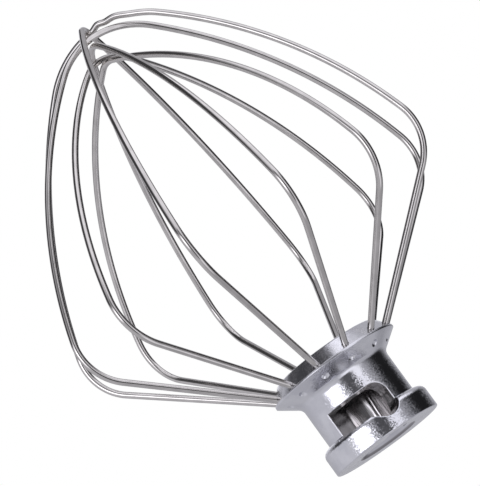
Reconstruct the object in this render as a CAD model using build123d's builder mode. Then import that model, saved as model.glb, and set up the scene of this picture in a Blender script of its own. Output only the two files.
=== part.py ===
"""Wire whisk for a stand mixer: six nested wire loops staked into a turned hub with a bayonet slot.

The whisk stands on the end face of its hub. The origin is the centre of that face, +Z runs along
the axis to the tips of the loops, and the bayonet slot faces -Y. All sizes are in millimetres.
"""

import os
from math import atan2, cos, degrees, hypot, radians, sin, tan

from build123d import *

# Mixer shaft and its cross pin
shaft_diameter = 12.7
shaft_clearance = 0.2
pin_diameter = 5.0
pin_reach = 12.0
channel_clearance = 0.8
slot_clearance = 2.1

# Hub, from the end face up
collar_diameter = 30.1
collar_height = 6.6
collar_round = 0.4
shoulder_round = 1.8
waist_diameter = 25.0
neck_round = 2.2
flange_diameter = 35.5
flange_slope = 36.0
flange_edge_round = 0.15
rim_band = 0.5
rim_inset = 0.1
rim_height = 22.7
hub_height = 26.5
top_round = 1.0
bore_depth = 20.0
bore_chamfer = 1.8

# Bayonet slot: a lock leg around the waist and a round pocket with a ramp, sunk into the collar
slot_azimuth = -90.0
slot_sink = 0.8
lock_angle = 44.4
entry_angle = 15.5
pocket_drop = 2.4
ramp_angle = 33.0
slot_edge_round = 0.2
skin_tolerance = 0.01

# Wire loops, listed from the outermost inwards
wire_diameter = 1.7
wire_hole_clearance = 0.1
wire_insertion = 6.0
rim_land = 0.3
exit_angle = 50.4
lean_angle = 15.9
shoulder_radius = 14.1
widest_radius = 52.7
width_steps = (0.2, 1.2, 0.7, 0.0, 0.8)
tip_height = 129.85
crossing_gaps = (0.1, 0.25, 0.15, 1.75, 0.2)
tip_radii = (7.0, 24.9, 20.7, 10.2, 15.4, 5.0)
loop_azimuths = (75.0, 165.0, 15.0, 105.0, 45.0, 135.0)
loop_tilts = (-0.6, -0.1, 1.5, -1.4, -0.7, -1.3)

# Stake marks that pinch each wire through the underside of the flange
stake_radius = 15.1
stake_ball_radius = 1.4
stake_depth = 0.45

# Sizes that follow from the ones above
bore_radius = (shaft_diameter + shaft_clearance) / 2
channel_width = pin_diameter + channel_clearance
slot_height = pin_diameter + slot_clearance
slot_floor = collar_height - slot_sink
slot_top = slot_floor + slot_height
pocket_radius = slot_height / 2
pocket_floor = slot_floor - pocket_drop
collar_radius = collar_diameter / 2
waist_radius = waist_diameter / 2
rim_radius = flange_diameter / 2
seat_radius = rim_radius - rim_inset
under_edge = rim_height - rim_band
slope = radians(flange_slope)
neck_height = under_edge - (rim_radius - waist_radius) * tan(slope)
exit_turn = radians(exit_angle)
top_radius = seat_radius - (hub_height - rim_height) / tan(exit_turn)
clear_of_collar = collar_diameter
wire_radius = wire_diameter / 2
hole_radius = (wire_diameter + wire_hole_clearance) / 2
seat_rise = hole_radius + rim_land
exit_radius = seat_radius - seat_rise * cos(exit_turn)
exit_height = rim_height + seat_rise * sin(exit_turn)


def around(radius, azimuth, height):
    """Point at a radius, an azimuth in degrees and a height."""
    turn = radians(azimuth)
    return Vector(radius * cos(turn), radius * sin(turn), height)


def loop_plane(azimuth, tilt):
    """Plane of a loop, tilted about the line between its two holes: local x points out, local y up."""
    out, lean = around(1, azimuth, 0), radians(tilt)
    upright_normal = Vector(out.Y, -out.X, 0)
    normal = upright_normal * cos(lean) - Vector(0, 0, 1) * sin(lean)
    return Plane(origin=(0, 0, exit_height), x_dir=out, z_dir=normal)


def is_slot_edge(edge):
    """Whether an edge of the slot lies on the hub's outer skin."""
    on_skin = all(hypot(end.X, end.Y) > waist_radius - skin_tolerance for end in (edge @ 0, edge @ 1))
    return on_skin and around(1, slot_azimuth, 0).dot(edge @ 0.5) > bore_radius


# Hub: one turned body, with a sloping seat that each wire leaves at a right angle
collar_foot = (collar_radius, 0)
collar_shoulder = (collar_radius, collar_height)
waist_foot = (waist_radius, collar_height)
neck = (waist_radius, neck_height)
flange_edge = (rim_radius, under_edge)
rim = (seat_radius, rim_height)
top_edge = (top_radius, hub_height)
rounded_corners = (
    (collar_foot, collar_round),
    (collar_shoulder, shoulder_round),
    (neck, neck_round),
    (flange_edge, flange_edge_round),
    (top_edge, top_round),
)
entry_azimuth = slot_azimuth + entry_angle
lock_azimuth = slot_azimuth - lock_angle
loop_planes = [loop_plane(azimuth, tilt) for azimuth, tilt in zip(loop_azimuths, loop_tilts)]

hole_planes = []
for plane in loop_planes:
    for side in (1, -1):
        inward = -plane.x_dir * side * sin(exit_turn) - plane.y_dir * cos(exit_turn)
        mouth = plane.origin + plane.x_dir * side * exit_radius
        hole_planes.append(Plane(origin=mouth - inward * wire_diameter, z_dir=inward))

stake_height = under_edge - (rim_radius - stake_radius) * tan(slope)
ball_offset = stake_ball_radius - stake_depth
ball_radius = stake_radius + ball_offset * sin(slope)
ball_height = stake_height - ball_offset * cos(slope)
stake_centres = [
    around(side * ball_radius, azimuth, ball_height) for azimuth in loop_azimuths for side in (1, -1)
]

with BuildPart() as hub:
    with BuildSketch(Plane.XZ) as turned_profile:
        with BuildLine():
            Polyline(
                (0, 0),
                collar_foot,
                collar_shoulder,
                waist_foot,
                neck,
                flange_edge,
                rim,
                top_edge,
                (0, hub_height),
                close=True,
            )
        make_face()
        for corner, radius in rounded_corners:
            fillet(turned_profile.vertices().sort_by_distance(corner)[0], radius)
    revolve(axis=Axis.Z)

    with BuildSketch(Plane.XZ) as bore_profile:
        with BuildLine():
            Polyline(
                (0, 0),
                (bore_radius + bore_chamfer, 0),
                (bore_radius, bore_chamfer),
                (bore_radius, bore_depth),
                (0, bore_depth),
                close=True,
            )
        make_face()
    revolve(axis=Axis.Z, mode=Mode.SUBTRACT)

    with BuildSketch(Plane.XY.offset(slot_floor)) as lock_leg:
        with BuildLine():
            start = around(clear_of_collar, lock_azimuth, 0)
            end = around(clear_of_collar, entry_azimuth, 0)
            middle = around(clear_of_collar, (lock_azimuth + entry_azimuth) / 2, 0)
            Line((0, 0), (start.X, start.Y))
            ThreePointArc((start.X, start.Y), (middle.X, middle.Y), (end.X, end.Y))
            Line((end.X, end.Y), (0, 0))
        make_face()
    extrude(amount=slot_height, mode=Mode.SUBTRACT)

    # The ramp leaves the pocket's round floor as a tangent and runs up to the floor of the lock leg
    entry_out = around(1, entry_azimuth, 0)
    ramp = radians(ramp_angle)
    ramp_foot_x = -pocket_radius * sin(ramp)
    ramp_foot_y = pocket_floor + pocket_radius - pocket_radius * cos(ramp)
    ramp_head_x = ramp_foot_x - (slot_floor - ramp_foot_y) / tan(ramp)
    pocket_plane = Plane(origin=(0, 0, 0), x_dir=(-entry_out.Y, entry_out.X, 0), z_dir=entry_out)
    with BuildSketch(pocket_plane) as pocket:
        with Locations((0, (pocket_floor + slot_top) / 2)):
            SlotOverall(slot_top - pocket_floor, slot_height, rotation=90)
        with BuildLine():
            Polyline(
                (ramp_foot_x, ramp_foot_y), (0, slot_floor), (ramp_head_x, slot_floor), close=True
            )
        make_face()
    extrude(amount=clear_of_collar, mode=Mode.SUBTRACT)

    with BuildSketch(Plane(origin=(0, 0, 0), x_dir=entry_out, z_dir=(0, 0, 1))) as pin_channel:
        with Locations((pin_reach / 2, 0)):
            Rectangle(pin_reach, channel_width)
    extrude(amount=slot_floor, mode=Mode.SUBTRACT)
    fillet(hub.edges().filter_by(is_slot_edge), slot_edge_round)

    with BuildSketch(*hole_planes) as wire_holes:
        Circle(hole_radius)
    extrude(amount=wire_diameter + wire_insertion, mode=Mode.SUBTRACT)

    with Locations(*stake_centres):
        Sphere(stake_ball_radius, mode=Mode.SUBTRACT)
hub.part.label = "hub"

# Wire loops: straight out of the seat, a shoulder bend, a long flank and a turn over the axis.
# Each route is drawn in the loop's own plane, with its heights counted from the mouths of the holes.
lean = radians(lean_angle)
seat_x = exit_radius - wire_insertion * sin(exit_turn)
seat_y = -wire_insertion * cos(exit_turn)
loops = []
loop_width, loop_tip = widest_radius, tip_height - exit_height
for index, (plane, tip_radius) in enumerate(zip(loop_planes, tip_radii)):
    if index:
        loop_width -= width_steps[index - 1]
        loop_tip -= wire_diameter + crossing_gaps[index - 1]
    shoulder_x = loop_width - shoulder_radius
    bend_x = shoulder_x + shoulder_radius * cos(exit_turn)
    bend_y = (bend_x - exit_radius) / tan(exit_turn)
    shoulder_y = bend_y + shoulder_radius * sin(exit_turn)

    # The flank arc leaves the shoulder at the lean angle and meets the tip circle from outside
    flank_x = shoulder_x + shoulder_radius * cos(lean)
    flank_y = shoulder_y + shoulder_radius * sin(lean)
    tip_y = loop_tip - tip_radius
    drop = flank_y - tip_y
    reach = flank_x * cos(lean) + drop * sin(lean)
    flank_radius = (flank_x**2 + drop**2 - tip_radius**2) / (2 * (reach - tip_radius))
    centre_x = flank_x - flank_radius * cos(lean)
    centre_y = flank_y - flank_radius * sin(lean)
    tip_angle = degrees(atan2(tip_y - centre_y, -centre_x))

    shoulder_turn = exit_angle + lean_angle
    flank_turn = tip_angle - lean_angle
    with BuildPart() as loop:
        with BuildLine(plane) as route:
            Line((seat_x, seat_y), (bend_x, bend_y))
            CenterArc((shoulder_x, shoulder_y), shoulder_radius, -exit_angle, shoulder_turn)
            CenterArc((centre_x, centre_y), flank_radius, lean_angle, flank_turn)
            CenterArc((0, tip_y), tip_radius, tip_angle, 180 - 2 * tip_angle)
            CenterArc((-centre_x, centre_y), flank_radius, 180 - tip_angle, flank_turn)
            CenterArc((-shoulder_x, shoulder_y), shoulder_radius, 180 - lean_angle, shoulder_turn)
            Line((-bend_x, bend_y), (-seat_x, seat_y))
        with BuildSketch(Plane(origin=route.line @ 0, z_dir=route.line % 0)):
            Circle(wire_radius)
        sweep()
    loop.part.label = f"wire_loop_{index + 1}"
    loops.append(loop.part)

os.makedirs("parts", exist_ok=True)
for piece in [hub.part, *loops]:
    export_step(piece, f"parts/{piece.label}.step")
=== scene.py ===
"""Stand mixer wire whisk: drawn wire loops staked into a burnished hub, in a plain bright studio."""

import logging
import math
from dataclasses import dataclass, replace
from enum import Enum

import bmesh
import bpy
from mathutils import Matrix, Quaternion, Vector


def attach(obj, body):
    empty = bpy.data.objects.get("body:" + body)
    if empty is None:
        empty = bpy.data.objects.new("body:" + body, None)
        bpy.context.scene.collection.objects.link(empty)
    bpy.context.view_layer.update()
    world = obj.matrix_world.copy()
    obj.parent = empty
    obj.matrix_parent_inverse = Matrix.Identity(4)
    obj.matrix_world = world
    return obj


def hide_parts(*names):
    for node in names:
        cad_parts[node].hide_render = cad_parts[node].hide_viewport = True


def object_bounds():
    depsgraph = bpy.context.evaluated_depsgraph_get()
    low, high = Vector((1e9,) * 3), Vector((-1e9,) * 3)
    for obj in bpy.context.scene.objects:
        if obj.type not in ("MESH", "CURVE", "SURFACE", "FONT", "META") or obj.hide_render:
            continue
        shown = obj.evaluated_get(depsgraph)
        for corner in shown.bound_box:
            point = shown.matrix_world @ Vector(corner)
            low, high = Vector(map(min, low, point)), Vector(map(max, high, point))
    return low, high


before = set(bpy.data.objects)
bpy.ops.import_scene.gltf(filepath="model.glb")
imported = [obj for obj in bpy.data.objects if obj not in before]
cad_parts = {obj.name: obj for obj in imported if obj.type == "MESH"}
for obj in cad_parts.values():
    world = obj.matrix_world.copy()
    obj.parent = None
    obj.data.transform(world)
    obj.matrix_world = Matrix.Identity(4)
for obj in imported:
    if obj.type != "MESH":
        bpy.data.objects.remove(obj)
cad_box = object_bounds()

log = logging.getLogger("whisk")

Colour = tuple[float, float, float]
Pair = tuple[float, float]
Point = tuple[float, float, float]
Ring = list[bmesh.types.BMVert]
Socket = bpy.types.NodeSocket

MM = 0.001
BODY = "root"
IMAGE_LONG_SIDE = 486
SENSOR_WIDTH = 36.0
WIRE_COORDINATES = "straightened"

# A Mix node's sockets go by number, because those for colours and numbers share their names
MIX_COLOUR_INPUTS = (0, 6, 7)
MIX_COLOUR_OUTPUT = 2
MIX_NUMBER_INPUTS = (0, 2, 3)
MIX_NUMBER_OUTPUT = 0


class Slot(Enum):
    """Material slots of the whisk."""

    HUB = "hub"
    WIRE = "wire"


class Shape(Enum):
    """Ways in which a stretch of wire runs."""

    STRAIGHT = "straight"
    BEND = "bend"


class NodeSheet:
    """Node tree of one material or world, with short ways to add and join nodes."""

    def __init__(self, tree: bpy.types.NodeTree) -> None:
        """Starts an empty sheet.

        Args:
            tree: the node tree that is cleared and filled.
        """
        self.tree = tree
        tree.nodes.clear()

    def add(self, kind: str, settings: dict | None = None, **inputs: object) -> bpy.types.Node:
        """Adds a node and sets or joins its inputs.

        Args:
            kind: the node's type name.
            settings: properties of the node itself.
            inputs: sockets by name, with _ for a space, each a value or another node's output.

        Returns:
            The new node.
        """
        node = self.tree.nodes.new(kind)
        for name, value in (settings or {}).items():
            setattr(node, name, value)
        for name, value in inputs.items():
            self.put(node, name.replace("_", " "), value)
        return node

    def put(self, node: bpy.types.Node, socket: str | int, value: object) -> None:
        """Sets an input socket to a value, or joins it to another node's output.

        Args:
            node: the node that takes the value.
            socket: the input's name or number.
            value: a number, a vector, a colour or an output socket.
        """
        target = node.inputs[socket]
        if isinstance(value, Socket):
            self.tree.links.new(value, target)
        else:
            target.default_value = value

    def combine(self, x: object, y: object, z: object = 0.0) -> Socket:
        """Joins three numbers to a vector."""
        return self.add("ShaderNodeCombineXYZ", X=x, Y=y, Z=z).outputs["Vector"]

    def math(self, operation: str, first: object, second: object = 0.0) -> Socket:
        """Adds a Math node.

        Args:
            operation: the node's operation.
            first: the first operand.
            second: the second operand.

        Returns:
            The node's value.
        """
        node = self.add("ShaderNodeMath", {"operation": operation})
        self.put(node, 0, first)
        self.put(node, 1, second)
        return node.outputs["Value"]

    def vector(self, operation: str, first: object, second: object = None, **inputs: object) -> Socket:
        """Adds a Vector Math node that gives a vector.

        Args:
            operation: the node's operation.
            first: the first operand.
            second: the second operand, if there is one.
            inputs: further sockets by name.

        Returns:
            The node's vector.
        """
        node = self.add("ShaderNodeVectorMath", {"operation": operation}, **inputs)
        self.put(node, 0, first)
        if second is not None:
            self.put(node, 1, second)
        return node.outputs["Vector"]

    def ramp(self, value: object, low: float, high: float, start: float, end: float) -> Socket:
        """Maps a range of values smoothly to another.

        Args:
            value: the value that is mapped.
            low: the value that gives start.
            high: the value that gives end.
            start: the result at and below low.
            end: the result at and above high.

        Returns:
            The mapped value.
        """
        node = self.add("ShaderNodeMapRange", {"interpolation_type": "SMOOTHSTEP"})
        for socket, number in enumerate((value, low, high, start, end)):
            self.put(node, socket, number)
        return node.outputs["Result"]

    def blend(self, share: object, first: object, second: object) -> Socket:
        """Mixes two colours.

        Args:
            share: how much of the second colour shows.
            first: the colour at a share of 0.
            second: the colour at a share of 1.

        Returns:
            The mixed colour.
        """
        node = self.add("ShaderNodeMix", {"data_type": "RGBA"})
        for socket, value in zip(MIX_COLOUR_INPUTS, (share, first, second)):
            self.put(node, socket, value)
        return node.outputs[MIX_COLOUR_OUTPUT]

    def mix(self, share: object, first: object, second: object) -> Socket:
        """Mixes two numbers.

        Args:
            share: how much of the second number counts.
            first: the number at a share of 0.
            second: the number at a share of 1.

        Returns:
            The mixed number.
        """
        node = self.add("ShaderNodeMix", {"data_type": "FLOAT"})
        for socket, value in zip(MIX_NUMBER_INPUTS, (share, first, second)):
            self.put(node, socket, value)
        return node.outputs[MIX_NUMBER_OUTPUT]

    def noise(self, place: object, scale: float, detail: float) -> Socket:
        """Adds a noise pattern.

        Args:
            place: the coordinates that it reads.
            scale: how many grains there are in one unit of those coordinates.
            detail: how many finer layers it has.

        Returns:
            The pattern's value, from 0 to 1.
        """
        node = self.add("ShaderNodeTexNoise", Vector=place, Scale=scale, Detail=detail)
        return node.outputs["Fac"]

    def choose(self, share: Socket, first: Socket, second: Socket) -> Socket:
        """Mixes two shaders.

        Args:
            share: how much of the second shader shows.
            first: the shader at a share of 0.
            second: the shader at a share of 1.

        Returns:
            The mixed shader.
        """
        node = self.add("ShaderNodeMixShader", Fac=share)
        self.put(node, 1, first)
        self.put(node, 2, second)
        return node.outputs["Shader"]

    def metal(self, colour: Socket, roughness: Socket, normal: Socket) -> None:
        """Ends a material's sheet with a surface of bare metal.

        Args:
            colour: the metal's colour.
            roughness: how far it spreads what it mirrors.
            normal: the way that its surface faces.
        """
        shader = self.add(
            "ShaderNodeBsdfPrincipled",
            Base_Color=colour,
            Metallic=1.0,
            Roughness=roughness,
            Normal=normal,
        )
        self.add("ShaderNodeOutputMaterial", Surface=shader.outputs["BSDF"])


def rgba(colour: Colour) -> tuple[float, float, float, float]:
    """Gives a colour an alpha of 1."""
    return (*colour, 1.0)


def blank_material(name: str) -> tuple[bpy.types.Material, NodeSheet]:
    """Starts a material.

    Args:
        name: the material's name.

    Returns:
        The material and its empty sheet.
    """
    material = bpy.data.materials.new(name)
    material.use_nodes = True
    return material, NodeSheet(material.node_tree)


def make_object(name: str, mesh: bmesh.types.BMesh) -> bpy.types.Object:
    """Turns a finished mesh into an object of the scene.

    Args:
        name: the object's name.
        mesh: the mesh, which is freed.

    Returns:
        The object.
    """
    data = bpy.data.meshes.new(name)
    mesh.to_mesh(data)
    mesh.free()
    made = bpy.data.objects.new(name, data)
    bpy.context.scene.collection.objects.link(made)
    return made


def way_to(bearing: float, elevation: float) -> Vector:
    """Turns two angles, in degrees, into a direction.

    Args:
        bearing: the angle from the slot's side of the hub, round to the right as the camera sees it.
        elevation: the angle above the horizon.

    Returns:
        The direction.
    """
    turn, rise = math.radians(bearing), math.radians(elevation)
    return Vector((math.sin(turn) * math.cos(rise), -math.cos(turn) * math.cos(rise), math.sin(rise)))


@dataclass(frozen=True)
class HubPlace:
    """Where a point of the hub lies about its axis, as outputs on the sheet of its finish."""

    point: Socket
    radius: Socket
    height: Socket
    around: tuple[Socket, Socket]


@dataclass(frozen=True)
class BurnishedHubFinish:
    """Bright tumbled aluminium, speckled and worn at its edges; the cuts are streaked along the axis."""

    bright: Colour = (0.83, 0.83, 0.86)
    dull: Colour = (0.72, 0.72, 0.76)
    dull_range: Pair = (0.35, 0.7)
    bore: Colour = (0.78, 0.76, 0.76)
    cut: Colour = (0.50, 0.49, 0.49)
    # Painted shade: a dark band on the bore's mouth chamfer that stands in for the shadow there
    mouth: Colour = (0.34, 0.33, 0.34)
    smooth_roughness: float = 0.06
    grained_roughness: float = 0.10
    grained_range: Pair = (0.3, 0.7)
    flange_roughness: float = 0.17
    cut_roughness: float = 0.15
    facets_per_metre: float = 4900.0
    peel_per_metre: float = 700.0
    turning_per_metre: float = 2200.0
    turning_spread: float = 1.3
    clouds_per_metre: float = 160.0
    streaks_around: float = 6.0
    streaks_per_metre: float = 50.0
    grain_detail: float = 2.0
    cloud_detail: float = 3.0
    facet_tilt: float = 0.175
    flange_tilt: float = 0.035
    level_facet: Colour = (0.5, 0.5, 0.5)
    peel_height: float = 0.02 * MM
    turning_height: float = 0.006 * MM
    streak_height: float = 0.20 * MM
    edge_wear: float = 0.18 * MM
    edge_samples: int = 6
    bore_radius: float = 6.5 * MM
    # Radius and depth of the painted shade band at the bore's mouth
    mouth_radius: float = 8.2 * MM
    mouth_shade_depth: float = 0.4 * MM
    cut_radius: float = 12.3 * MM
    cut_start: float = 2.0 * MM
    cut_end: float = 20.1 * MM
    cut_blend: float = 0.1 * MM
    flange_start: float = 15.0 * MM
    flange_full: float = 18.0 * MM

    def locate(self, sheet: NodeSheet) -> HubPlace:
        """Works out where each point lies about the hub's axis.

        Args:
            sheet: the sheet of the material.

        Returns:
            The point, its distance from the axis, its height and its way round.
        """
        point = sheet.add("ShaderNodeTexCoord").outputs["Object"]
        apart = sheet.add("ShaderNodeSeparateXYZ", Vector=point).outputs
        flat = sheet.combine(apart["X"], apart["Y"])
        radius = sheet.add("ShaderNodeVectorMath", {"operation": "LENGTH"}, Vector=flat).outputs["Value"]
        around = (sheet.math("DIVIDE", apart["X"], radius), sheet.math("DIVIDE", apart["Y"], radius))
        return HubPlace(point, radius, apart["Z"], around)

    def within(self, sheet: NodeSheet, place: Socket, limit: float) -> Socket:
        """Marks what lies below a limit.

        Args:
            sheet: the sheet of the material.
            place: a radius or a height.
            limit: where the mark starts to fade, over the width of a cut's edge.

        Returns:
            1 below the limit and 0 above it.
        """
        return sheet.ramp(place, limit, limit + self.cut_blend, 1.0, 0.0)

    def inside(self, sheet: NodeSheet, place: HubPlace) -> Socket:
        """Marks the walls of the bore, the pin channel and the slot.

        Args:
            sheet: the sheet of the material.
            place: where the point lies.

        Returns:
            1 in the cuts and 0 on the skin.
        """
        inner = self.within(sheet, place.radius, self.cut_radius)
        above = sheet.ramp(place.height, self.cut_start, self.cut_start + self.cut_blend, 0.0, 1.0)
        below = self.within(sheet, place.height, self.cut_end)
        return sheet.math("MULTIPLY", inner, sheet.math("MULTIPLY", above, below))

    def tint(self, sheet: NodeSheet, place: HubPlace, inside: Socket) -> Socket:
        """Works out the colour: a clouded skin, darker walls in the cuts, and a painted shade line on
        the bore's mouth.

        Args:
            sheet: the sheet of the material.
            place: where the point lies.
            inside: the mark of the cuts.

        Returns:
            The colour.
        """
        clouds = sheet.noise(place.point, self.clouds_per_metre, self.cloud_detail)
        dulled = sheet.ramp(clouds, *self.dull_range, 0.0, 1.0)
        skin = sheet.blend(dulled, rgba(self.bright), rgba(self.dull))
        bored = self.within(sheet, place.radius, self.bore_radius)
        walls = sheet.blend(bored, rgba(self.cut), rgba(self.bore))
        # Painted shade: the mouth chamfer near the end face is darkened
        near = self.within(sheet, place.radius, self.mouth_radius)
        low = sheet.ramp(place.height, self.mouth_shade_depth, 2 * self.mouth_shade_depth, 1.0, 0.0)
        mouth = sheet.math("MULTIPLY", near, low)
        return sheet.blend(mouth, sheet.blend(inside, skin, walls), rgba(self.mouth))

    def relief(self, sheet: NodeSheet, place: HubPlace, inside: Socket, peel: Socket) -> Socket:
        """Works out the fine relief: a tumbled skin with faint turning rings, and streaks in the cuts.

        Args:
            sheet: the sheet of the material.
            place: where the point lies.
            inside: the mark of the cuts.
            peel: the pattern of the tumbled skin.

        Returns:
            The height, in metres.
        """
        spread = sheet.math("MULTIPLY", place.radius, self.turning_spread)
        rings = sheet.math("MULTIPLY", sheet.math("ADD", spread, place.height), self.turning_per_metre)
        turning = sheet.noise(sheet.combine(*place.around, rings), 1.0, self.grain_detail)
        round_about = [sheet.math("MULTIPLY", part, self.streaks_around) for part in place.around]
        along = sheet.math("MULTIPLY", place.height, self.streaks_per_metre)
        streaks = sheet.noise(sheet.combine(*round_about, along), 1.0, self.grain_detail)
        skin = sheet.math(
            "ADD",
            sheet.math("MULTIPLY", peel, self.peel_height),
            sheet.math("MULTIPLY", turning, self.turning_height),
        )
        return sheet.mix(inside, skin, sheet.math("MULTIPLY", streaks, self.streak_height))

    def facing(self, sheet: NodeSheet, place: HubPlace, inside: Socket, flange: Socket) -> Socket:
        """Rounds the worn edges, and tilts each tiny facet of the skin its own way.

        Args:
            sheet: the sheet of the material.
            place: where the point lies.
            inside: the mark of the cuts, which have no facets.
            flange: the mark of the flange, whose facets tilt less.

        Returns:
            The way that the surface faces.
        """
        worn = sheet.add("ShaderNodeBevel", {"samples": self.edge_samples}, Radius=self.edge_wear)
        facets = sheet.add("ShaderNodeTexVoronoi", Vector=place.point, Scale=self.facets_per_metre)
        lean = sheet.vector("SUBTRACT", facets.outputs["Color"], self.level_facet)
        amount = sheet.mix(inside, sheet.mix(flange, self.facet_tilt, self.flange_tilt), 0.0)
        tilt = sheet.vector("SCALE", lean, Scale=amount)
        return sheet.vector("NORMALIZE", sheet.vector("ADD", worn.outputs["Normal"], tilt))

    def make(self) -> bpy.types.Material:
        """Builds the material.

        Returns:
            The hub's material.
        """
        material, sheet = blank_material("burnished_hub")
        place = self.locate(sheet)
        inside = self.inside(sheet, place)
        flange = sheet.ramp(place.height, self.flange_start, self.flange_full, 0.0, 1.0)
        peel = sheet.noise(place.point, self.peel_per_metre, self.grain_detail)
        polish = sheet.ramp(peel, *self.grained_range, self.smooth_roughness, self.grained_roughness)
        skin_roughness = sheet.mix(flange, polish, self.flange_roughness)
        bump = sheet.add(
            "ShaderNodeBump",
            Strength=1.0,
            Distance=1.0,
            Height=self.relief(sheet, place, inside, peel),
            Normal=self.facing(sheet, place, inside, flange),
        )
        sheet.metal(
            self.tint(sheet, place, inside),
            sheet.mix(inside, skin_roughness, self.cut_roughness),
            bump.outputs["Normal"],
        )
        return material


@dataclass(frozen=True)
class DrawnWireFinish:
    """Polished stainless wire with faint lines along its length, left by the drawing die."""

    bright: Colour = (0.72, 0.695, 0.67)
    dull: Colour = (0.58, 0.56, 0.54)
    dull_range: Pair = (0.35, 0.68)
    smooth_roughness: float = 0.05
    lined_roughness: float = 0.13
    lined_range: Pair = (0.3, 0.7)
    lines_per_metre: float = 1600.0
    line_detail: float = 3.0
    line_stretch: float = 0.012
    line_height: float = 0.004 * MM
    line_share: float = 0.6
    scuffs_per_metre: float = 420.0
    scuff_detail: float = 1.0

    def make(self) -> bpy.types.Material:
        """Builds the material.

        Returns:
            The wires' material.
        """
        material, sheet = blank_material("drawn_wire")
        along = sheet.add(
            "ShaderNodeAttribute", {"attribute_type": "GEOMETRY", "attribute_name": WIRE_COORDINATES}
        ).outputs["Vector"]
        drawn = sheet.add("ShaderNodeMapping", Vector=along, Scale=(1.0, 1.0, self.line_stretch))
        lines = sheet.noise(drawn.outputs["Vector"], self.lines_per_metre, self.line_detail)
        scuffs = sheet.noise(along, self.scuffs_per_metre, self.scuff_detail)
        wear = sheet.mix(self.line_share, scuffs, lines)
        dulled = sheet.ramp(wear, *self.dull_range, 0.0, 1.0)
        bump = sheet.add("ShaderNodeBump", Strength=1.0, Distance=self.line_height, Height=lines)
        sheet.metal(
            sheet.blend(dulled, rgba(self.bright), rgba(self.dull)),
            sheet.ramp(wear, *self.lined_range, self.smooth_roughness, self.lined_roughness),
            bump.outputs["Normal"],
        )
        return material


@dataclass(frozen=True)
class PaleFloorFinish:
    """Plain pale floor with a slight glow.

    It shows only from above, because the view of the hub comes from a little below it.
    """

    pale: Colour = (0.86, 0.86, 0.87)
    shade: Colour = (0.82, 0.82, 0.83)
    clouds_per_metre: float = 3.0
    cloud_detail: float = 3.0
    roughness: float = 0.6
    glow: float = 0.4

    def make(self) -> bpy.types.Material:
        """Builds the material.

        Returns:
            The floor's material.
        """
        material, sheet = blank_material("pale_floor")
        place = sheet.add("ShaderNodeTexCoord").outputs["Object"]
        clouds = sheet.noise(place, self.clouds_per_metre, self.cloud_detail)
        colour = sheet.blend(clouds, rgba(self.pale), rgba(self.shade))
        top = sheet.add(
            "ShaderNodeBsdfPrincipled",
            Base_Color=colour,
            Roughness=self.roughness,
            Emission_Color=colour,
            Emission_Strength=self.glow,
        )
        clear = sheet.add("ShaderNodeBsdfTransparent")
        from_below = sheet.add("ShaderNodeNewGeometry").outputs["Backfacing"]
        surface = sheet.choose(from_below, top.outputs["BSDF"], clear.outputs["BSDF"])
        sheet.add("ShaderNodeOutputMaterial", Surface=surface)
        return material


@dataclass(frozen=True)
class Stretch:
    """One stretch of a wire's route, in the plane of its loop."""

    shape: Shape
    end: Pair = (0.0, 0.0)
    centre: Pair = (0.0, 0.0)
    turn: float = 0.0
    radius: float = 0.0

    def mirrored(self) -> "Stretch":
        """Gives the same bend on the other side of the axis."""
        return replace(self, centre=(-self.centre[0], self.centre[1]))


@dataclass(frozen=True)
class Kink:
    """A small hump that the maker pressed into a wire beside a crossing."""

    offset: float
    rise: float
    width: float

    def lift(self, offset: float) -> float:
        """Works out how far the wire is lifted.

        Args:
            offset: the distance from the axis, negative on the side where the wire runs home.

        Returns:
            The lift at that distance.
        """
        return self.rise * math.exp(-0.5 * ((offset - self.offset) / self.width) ** 2)


@dataclass(frozen=True)
class WireStock:
    """Sizes that all loops share, in metres and degrees."""

    diameter: float = 1.7 * MM
    sides: int = 32
    seat_radius: float = 17.65 * MM
    rim_height: float = 22.7 * MM
    seat_rise: float = 1.2 * MM
    insertion: float = 6.0 * MM
    exit_angle: float = 50.4
    lean_angle: float = 15.9
    shoulder_radius: float = 14.1 * MM
    finest_turn: float = 3.0
    straight_step: float = 16.0 * MM
    bend_step: float = 2.0 * MM
    kinked_step: float = 0.5 * MM
    least_lift: float = 0.0005 * MM

    def mouth(self) -> Pair:
        """Works out where the wires leave the hub.

        Returns:
            The distance of each hole's mouth from the axis, and its height.
        """
        leave = math.radians(self.exit_angle)
        return (
            self.seat_radius - self.seat_rise * math.cos(leave),
            self.rim_height + self.seat_rise * math.sin(leave),
        )


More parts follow.
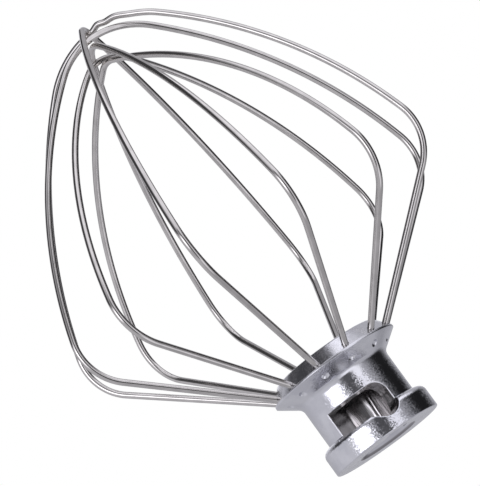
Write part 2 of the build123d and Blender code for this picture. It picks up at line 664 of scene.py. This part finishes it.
class WireTube:
    """A tube that grows ring by ring, and keeps at each point where it lay on the straight wire."""

    def __init__(self, radius: float, sides: int, seat: Matrix) -> None:
        """Starts the tube with one open ring.

        Args:
            radius: the wire's radius.
            sides: how many points a ring has.
            seat: the place of the first ring, with its third axis along the wire.
        """
        self.mesh = bmesh.new()
        self.straightened = self.mesh.verts.layers.float_vector.new(WIRE_COORDINATES)
        bmesh.ops.create_circle(self.mesh, cap_ends=False, segments=sides, radius=radius, matrix=seat)
        back = seat.inverted()
        self.places = [(back @ vert.co).to_2d() for vert in self.mesh.verts]
        self.edges = list(self.mesh.edges)
        self.rings = [list(self.mesh.verts)]
        self.length = 0.0
        self.mark()

    @staticmethod
    def middle(ring: Ring) -> Vector:
        """Gives the middle of a ring."""
        return sum((vert.co for vert in ring), Vector()) / len(ring)

    def mark(self) -> None:
        """Keeps, at each point of the newest ring, where it lay on the straight wire."""
        for vert, place in zip(self.rings[-1], self.places):
            vert[self.straightened] = (place.x, place.y, self.length)

    def grow(self, run: float) -> Ring:
        """Extrudes the newest ring.

        Args:
            run: how much longer the wire gets.

        Returns:
            The new ring, which still lies where the last one does.
        """
        grown = bmesh.ops.extrude_edge_only(self.mesh, edges=self.edges)["geom"]
        fresh = [item for item in grown if isinstance(item, bmesh.types.BMVert)]
        self.edges = [
            item
            for item in grown
            if isinstance(item, bmesh.types.BMEdge) and all(vert in fresh for vert in item.verts)
        ]
        self.rings.append(fresh)
        self.length += run
        self.mark()
        return fresh

    def straight(self, end: Vector, step: float) -> None:
        """Runs the wire straight on.

        Args:
            end: where the stretch ends.
            step: about how far apart its rings lie.
        """
        shift = end - self.middle(self.rings[-1])
        count = max(1, round(shift.length / step))
        for _ in range(count):
            bmesh.ops.translate(self.mesh, verts=self.grow(shift.length / count), vec=shift / count)

    def bend(self, centre: Vector, axis: Vector, turn: float, run: float, count: int) -> None:
        """Runs the wire round an arc.

        Args:
            centre: the middle of the arc.
            axis: the axis that it turns about.
            turn: how far it turns, in radians.
            run: how long it is.
            count: how many rings it has.
        """
        part = Matrix.Rotation(turn / count, 3, axis)
        for _ in range(count):
            bmesh.ops.rotate(self.mesh, verts=self.grow(run / count), cent=centre, matrix=part)

    def close(self, name: str) -> bpy.types.Object:
        """Caps both ends.

        Args:
            name: the name of the wire.

        Returns:
            The finished wire.
        """
        rims = [edge for edge in self.mesh.edges if edge.is_boundary]
        for face in self.mesh.faces:
            face.smooth = True
        for edge in rims:
            edge.smooth = False
        bmesh.ops.holes_fill(self.mesh, edges=rims, sides=0)
        bmesh.ops.recalc_face_normals(self.mesh, faces=self.mesh.faces)
        return make_object(name, self.mesh)


@dataclass
class WireLoop:
    """One loop of wire, from its hole in the hub over the axis to the hole on the far side."""

    node: str
    azimuth: float
    tilt: float
    widest_radius: float
    tip_height: float
    tip_radius: float
    stock: WireStock
    kinks: tuple[Kink, ...] = ()

    def axes(self) -> tuple[Vector, Vector, Vector]:
        """Works out the loop's plane, which tilts about the line between its holes.

        Returns:
            The ways out and up in the plane, and the axis about which its bends turn upwards.
        """
        turn, tilt = math.radians(self.azimuth), math.radians(self.tilt)
        out = Vector((math.cos(turn), math.sin(turn), 0.0))
        aside = Vector((math.sin(turn), -math.cos(turn), 0.0))
        upright = Vector((0.0, 0.0, 1.0))
        up = upright * math.cos(tilt) + aside * math.sin(tilt)
        normal = aside * math.cos(tilt) - upright * math.sin(tilt)
        return out, up, normal

    def plane_point(self, place: Pair) -> Vector:
        """Turns a place in the loop's plane into a point.

        Args:
            place: the distance from the axis, and the height above the holes' mouths.

        Returns:
            The point in space.
        """
        out, up, _ = self.axes()
        return Vector((0.0, 0.0, self.stock.mouth()[1])) + out * place[0] + up * place[1]

    def route(self) -> tuple[Pair, list[Stretch]]:
        """Works out the wire's route: straight, shoulder, flank, tip, and the same down the other side.

        Returns:
            The start of the wire in its hole, and the stretches that follow.
        """
        stock = self.stock
        leave, lean = math.radians(stock.exit_angle), math.radians(stock.lean_angle)
        mouth_radius, mouth_height = stock.mouth()
        mouth = Vector((mouth_radius, 0.0))
        heading = Vector((math.sin(leave), math.cos(leave)))
        start = mouth - heading * stock.insertion
        shoulder_x = self.widest_radius - stock.shoulder_radius
        bend_x = shoulder_x + stock.shoulder_radius * math.cos(leave)
        bend = mouth + heading * ((bend_x - mouth.x) / heading.x)
        shoulder = Vector((shoulder_x, bend.y + stock.shoulder_radius * math.sin(leave)))

        # The flank leaves the shoulder at the lean angle and runs smoothly into the tip's arc
        outward = Vector((math.cos(lean), math.sin(lean)))
        flank = shoulder + stock.shoulder_radius * outward
        tip = Vector((0.0, self.tip_height - mouth_height - self.tip_radius))
        away = flank - tip
        reach = away.dot(outward)
        flank_radius = (away.length_squared - self.tip_radius**2) / (2 * (reach - self.tip_radius))
        centre = flank - flank_radius * outward
        tip_angle = math.degrees(math.atan2(tip.y - centre.y, tip.x - centre.x))

        arcs = (
            (shoulder, stock.exit_angle + stock.lean_angle, stock.shoulder_radius),
            (centre, tip_angle - stock.lean_angle, flank_radius),
            (tip, 180 - 2 * tip_angle, self.tip_radius),
        )
        rising = [
            Stretch(Shape.BEND, centre=tuple(middle), turn=turn, radius=radius)
            for middle, turn, radius in arcs
        ]
        falling = [arc.mirrored() for arc in reversed(rising[:-1])]
        out = Stretch(Shape.STRAIGHT, end=tuple(bend))
        home = Stretch(Shape.STRAIGHT, end=(-start.x, start.y))
        return tuple(start), [out, *rising, *falling, home]

    def build(self) -> bpy.types.Object:
        """Sweeps a round section along the route and closes its ends.

        Returns:
            The wire, with coordinates of the straightened wire stored at each point.
        """
        stock = self.stock
        start, stretches = self.route()
        normal = self.axes()[2]
        here = self.plane_point(start)
        heading = (self.plane_point(stretches[0].end) - here).normalized()
        seat = Matrix((normal, heading.cross(normal), heading)).transposed().to_4x4()
        seat.translation = here
        tube = WireTube(stock.diameter / 2, stock.sides, seat)
        step = stock.kinked_step if self.kinks else stock.bend_step
        for stretch in stretches:
            if stretch.shape is Shape.STRAIGHT:
                tube.straight(self.plane_point(stretch.end), stock.straight_step)
            else:
                turn = math.radians(stretch.turn)
                run = turn * stretch.radius
                count = max(math.ceil(run / step), math.ceil(stretch.turn / stock.finest_turn))
                tube.bend(self.plane_point(stretch.centre), normal, turn, run, count)
        if self.kinks:
            self.press(tube)
        return tube.close(f"{self.node}_drawn")

    def press(self, tube: WireTube) -> None:
        """Presses the kinks into the upper half of the wire, and keeps its rings square to it.

        Args:
            tube: the smooth wire.
        """
        out, up, _ = self.axes()
        foot = self.plane_point((0.0, 0.0))
        half_way = self.tip_height / 2
        middles = [tube.middle(ring) for ring in tube.rings]
        lifts = [sum(kink.lift((middle - foot).dot(out)) for kink in self.kinks) for middle in middles]
        moved = [middle + up * lift for middle, lift in zip(middles, lifts)]
        for index, (middle, lift) in enumerate(zip(middles, lifts)):
            if middle.z < half_way or lift < self.stock.least_lift:
                continue
            before = middles[index + 1] - middles[index - 1]
            after = moved[index + 1] - moved[index - 1]
            turn = before.rotation_difference(after).to_matrix()
            bmesh.ops.rotate(tube.mesh, verts=tube.rings[index], cent=middle, matrix=turn)
            bmesh.ops.translate(tube.mesh, verts=tube.rings[index], vec=up * lift)

    def dress(self, finish: bpy.types.Material) -> bpy.types.Object:
        """Builds the wire, gives it its finish and sets it in place of the plain solid.

        Args:
            finish: the wire's material.

        Returns:
            The dressed wire.
        """
        piece = self.build()
        piece.data.materials.append(finish)
        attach(piece, BODY)
        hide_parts(self.node)
        return piece


@dataclass
class WireCage:
    """The nested loops, listed from the outermost inwards."""

    stock: WireStock = WireStock()
    finish: DrawnWireFinish = DrawnWireFinish()
    azimuths: tuple[float, ...] = (75.0, 165.0, 15.0, 105.0, 45.0, 135.0)
    tilts: tuple[float, ...] = (-0.6, -0.1, 1.5, -1.4, -0.7, -1.3)
    tip_radii: tuple[float, ...] = (7.0 * MM, 24.9 * MM, 20.7 * MM, 10.2 * MM, 15.4 * MM, 5.0 * MM)
    crossing_gaps: tuple[float, ...] = (0.1 * MM, 0.25 * MM, 0.15 * MM, 1.75 * MM, 0.2 * MM)
    width_steps: tuple[float, ...] = (0.2 * MM, 1.2 * MM, 0.7 * MM, 0.0, 0.8 * MM)
    widest_radius: float = 52.7 * MM
    tip_height: float = 129.85 * MM
    kinked: int = 2
    kinks: tuple[Kink, ...] = (
        Kink(-2.6 * MM, rise=0.8 * MM, width=1.1 * MM),
        Kink(-7.2 * MM, rise=0.7 * MM, width=2.0 * MM),
    )

    def loops(self) -> list[WireLoop]:
        """Lists the loops with their own sizes.

        Returns:
            The loops, from the outermost inwards.
        """
        found = []
        width, tip = self.widest_radius, self.tip_height
        sizes = zip(self.azimuths, self.tilts, self.tip_radii)
        for index, (azimuth, tilt, tip_radius) in enumerate(sizes):
            if index:
                width -= self.width_steps[index - 1]
                tip -= self.stock.diameter + self.crossing_gaps[index - 1]
            found.append(
                WireLoop(
                    node=f"wire_loop_{index + 1}",
                    azimuth=azimuth,
                    tilt=tilt,
                    widest_radius=width,
                    tip_height=tip,
                    tip_radius=tip_radius,
                    stock=self.stock,
                    kinks=self.kinks if index + 1 == self.kinked else (),
                )
            )
        return found

    def dress(self) -> list[bpy.types.Object]:
        """Builds and finishes every loop.

        Returns:
            The dressed wires.
        """
        material = self.finish.make()
        return [loop.dress(material) for loop in self.loops()]


@dataclass
class Hub:
    """The turned hub, whose own solid has its full shape."""

    node: str = Slot.HUB.value
    finish: BurnishedHubFinish = BurnishedHubFinish()

    def dress(self) -> bpy.types.Object:
        """Gives the hub its finish.

        Returns:
            The hub.
        """
        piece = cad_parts[self.node]
        material = self.finish.make()
        for slot in piece.material_slots:
            slot.material = material
        return piece


@dataclass(frozen=True)
class SoftBox:
    """One large soft light, placed by its bearing from the front of the slot and its elevation."""

    name: str
    bearing: float
    elevation: float
    distance: float
    width: float
    height: float
    radiance: float

    def place(self, centre: Vector) -> bpy.types.Object:
        """Hangs the light so that it faces the whisk.

        Args:
            centre: the middle of the whisk.

        Returns:
            The light.
        """
        away = way_to(self.bearing, self.elevation)
        data = bpy.data.lights.new(self.name, "AREA")
        data.shape = "RECTANGLE"
        data.size, data.size_y = self.width, self.height
        data.energy = self.radiance * math.pi * self.width * self.height
        light = bpy.data.objects.new(self.name, data)
        light.location = centre + away * self.distance
        light.rotation_mode = "QUATERNION"
        light.rotation_quaternion = away.to_track_quat("Z", "Y")
        light.visible_camera = False
        bpy.context.scene.collection.objects.link(light)
        return light


@dataclass(frozen=True)
class Patch:
    """A soft-edged part of the surroundings with a brightness of its own.

    It is placed by the bearing and elevation of its middle. Its sizes are pairs of angles from
    there, in degrees: the patch shows fully up to the first, and has faded out at the second.
    """

    name: str
    bearing: float
    elevation: float
    level: float

    def share(self, sheet: NodeSheet, way: Socket) -> Socket:
        """Works out how much of the patch shows in each direction.

        Args:
            sheet: the world's node sheet.
            way: the direction that is looked at.

        Returns:
            The share, from 0 to 1.
        """
        raise NotImplementedError


@dataclass(frozen=True)
class RoundPatch(Patch):
    """A round patch, such as a lamp or a flag overhead."""

    radius: Pair

    def share(self, sheet: NodeSheet, way: Socket) -> Socket:
        """Works out the share from the angle to the middle of the patch.

        Args:
            sheet: the world's node sheet.
            way: the direction that is looked at.

        Returns:
            The share, from 0 to 1.
        """
        facing = sheet.add("ShaderNodeVectorMath", {"operation": "DOT_PRODUCT"})
        sheet.put(facing, 0, way)
        sheet.put(facing, 1, way_to(self.bearing, self.elevation))
        full, edge = (math.cos(math.radians(angle)) for angle in self.radius)
        return sheet.ramp(facing.outputs["Value"], edge, full, 0.0, 1.0)


@dataclass(frozen=True)
class WallPatch(Patch):
    """An upright patch, such as a wall, a strip light or a flag on a stand."""

    across: Pair
    upright: Pair

    def share(self, sheet: NodeSheet, way: Socket) -> Socket:
        """Works out the share from the bearing and the elevation.

        Args:
            sheet: the world's node sheet.
            way: the direction that is looked at.

        Returns:
            The share, from 0 to 1.
        """
        apart = sheet.add("ShaderNodeSeparateXYZ", Vector=way).outputs
        bearing = sheet.math("ARCTAN2", apart["X"], sheet.math("MULTIPLY", apart["Y"], -1.0))
        aside = sheet.add("ShaderNodeMath", {"operation": "WRAP"})
        offset = sheet.math("SUBTRACT", bearing, math.radians(self.bearing))
        for socket, value in enumerate((offset, math.pi, -math.pi)):
            sheet.put(aside, socket, value)
        rise = sheet.math("SUBTRACT", sheet.math("ARCSINE", apart["Z"]), math.radians(self.elevation))
        shares = []
        for angle, size in ((aside.outputs["Value"], self.across), (rise, self.upright)):
            full, edge = (math.radians(limit) for limit in size)
            shares.append(sheet.ramp(sheet.math("ABSOLUTE", angle), full, edge, 1.0, 0.0))
        return sheet.math("MULTIPLY", *shares)


@dataclass
class Studio:
    """Plain pale floor, white backdrop, soft light, and the surroundings that the metal mirrors."""

    floor: PaleFloorFinish = PaleFloorFinish()
    floor_size: float = 6.0
    floor_gap: float = 0.5 * MM
    room_level: float = 0.465
    room_tint: Colour = (0.985, 0.985, 1.06)
    backdrop: Colour = (1.0, 1.0, 1.0)
    lights: tuple[SoftBox, ...] = (
        SoftBox("left_box", -39.0, 8.0, distance=0.9, width=0.36, height=0.2, radiance=0.8),
    )
    # Each patch lies over the ones before it
    patches: tuple[Patch, ...] = (
        WallPatch("left wall", -80.0, 0.0, 0.60, across=(20.0, 90.0), upright=(30.0, 70.0)),
        WallPatch("bright upper right", 45.0, 50.0, 1.05, across=(48.0, 76.0), upright=(20.0, 36.0)),
        WallPatch("table in front", 22.0, -42.0, 1.0, across=(18.0, 34.0), upright=(15.0, 28.0)),
        WallPatch("lit back wall", 180.0, 30.0, 0.9, across=(6.0, 26.0), upright=(12.0, 23.0)),
        WallPatch("dark upper left", -90.0, 40.0, 0.06, across=(22.0, 62.0), upright=(12.0, 24.0)),
        WallPatch("dim band in front", -6.0, 27.0, 0.24, across=(16.0, 36.0), upright=(5.0, 15.0)),
        RoundPatch("flag overhead", -105.0, 67.0, 0.06, radius=(22.0, 36.0)),
        RoundPatch("flag behind", -170.0, 51.0, 0.03, radius=(9.0, 15.0)),
        WallPatch("dark right", 104.0, -6.0, 0.014, across=(14.0, 60.0), upright=(20.0, 38.0)),
        WallPatch("right strip light", 34.0, 5.0, 0.98, across=(7.0, 15.0), upright=(20.0, 40.0)),
        WallPatch("gap in front", 6.0, -6.0, 0.09, across=(11.0, 19.0), upright=(18.0, 30.0)),
        WallPatch("left soft box", -39.0, 8.0, 1.70, across=(12.0, 26.0), upright=(8.0, 18.0)),
        RoundPatch("lamp overhead", 84.0, 76.0, 1.25, radius=(4.5, 9.0)),
    )

    def shade(self, level: float) -> tuple[float, float, float, float]:
        """Gives a brightness the room's cool tint."""
        return rgba(tuple(level * part for part in self.room_tint))

    def surround(self) -> None:
        """Makes the world: a white backdrop to the eye, and walls, lamps and flags to the metal."""
        world = bpy.data.worlds.new("studio")
        world.use_nodes = True
        sheet = NodeSheet(world.node_tree)
        way = sheet.add("ShaderNodeTexCoord").outputs["Generated"]
        colour: object = self.shade(self.room_level)
        for patch in self.patches:
            colour = sheet.blend(patch.share(sheet, way), colour, self.shade(patch.level))
            colour.node.label = patch.name
        seen = sheet.add("ShaderNodeBackground", Color=rgba(self.backdrop), Strength=1.0)
        felt = sheet.add("ShaderNodeBackground", Color=colour, Strength=1.0)
        eye = sheet.add("ShaderNodeLightPath").outputs["Is Camera Ray"]
        surface = sheet.choose(eye, felt.outputs["Background"], seen.outputs["Background"])
        sheet.add("ShaderNodeOutputWorld", Surface=surface)
        bpy.context.scene.world = world

    def lay_floor(self) -> bpy.types.Object:
        """Lays the floor just under the hub's end face, and keeps it out of what the metal mirrors.

        Returns:
            The floor.
        """
        mesh = bmesh.new()
        bmesh.ops.create_grid(mesh, x_segments=1, y_segments=1, size=self.floor_size / 2)
        bmesh.ops.translate(mesh, verts=mesh.verts, vec=(0.0, 0.0, -self.floor_gap))
        floor = make_object("floor", mesh)
        floor.data.materials.append(self.floor.make())
        floor.visible_glossy = False
        return floor

    def set_up(self, centre: Vector) -> None:
        """Makes the surroundings, the floor and the lights.

        Args:
            centre: the middle of the whisk.
        """
        self.surround()
        self.lay_floor()
        for light in self.lights:
            light.place(centre)
        bpy.context.scene.view_settings.view_transform = "Standard"


@dataclass(frozen=True)
class PhotoCamera:
    """Camera that sees the whisk from a little below, turned so that the whisk leans over."""

    position: Point = (-40.74 * MM, -611.51 * MM, -52.39 * MM)
    target: Point = (-0.80 * MM, 0.0, 61.58 * MM)
    roll: float = -36.02
    focal_pixels: float = 2500.0
    clip: Pair = (0.01, 50.0)

    def place(self) -> bpy.types.Object:
        """Sets the scene's camera.

        Returns:
            The camera.
        """
        data = bpy.data.cameras.new("photo_camera")
        data.sensor_width = SENSOR_WIDTH
        data.lens = self.focal_pixels * SENSOR_WIDTH / IMAGE_LONG_SIDE
        data.clip_start, data.clip_end = self.clip
        camera = bpy.data.objects.new("photo_camera", data)
        here = Vector(self.position)
        look = (Vector(self.target) - here).to_track_quat("-Z", "Y")
        camera.location = here
        camera.rotation_mode = "QUATERNION"
        camera.rotation_quaternion = look @ Quaternion((0.0, 0.0, 1.0), math.radians(self.roll))
        bpy.context.scene.collection.objects.link(camera)
        bpy.context.scene.camera = camera
        return camera


def main() -> None:
    """Builds the whisk and its studio, and reports each piece."""
    logging.basicConfig(level=logging.INFO, format="%(message)s")
    for piece in [Hub().dress(), *WireCage().dress()]:
        log.info("%s: %d faces", piece.name, len(piece.data.polygons))
    low, high = cad_box
    Studio().set_up((low + high) / 2)
    camera = PhotoCamera().place()
    log.info("camera: %.1f mm lens", camera.data.lens)


if __name__ == "__main__":
    main()
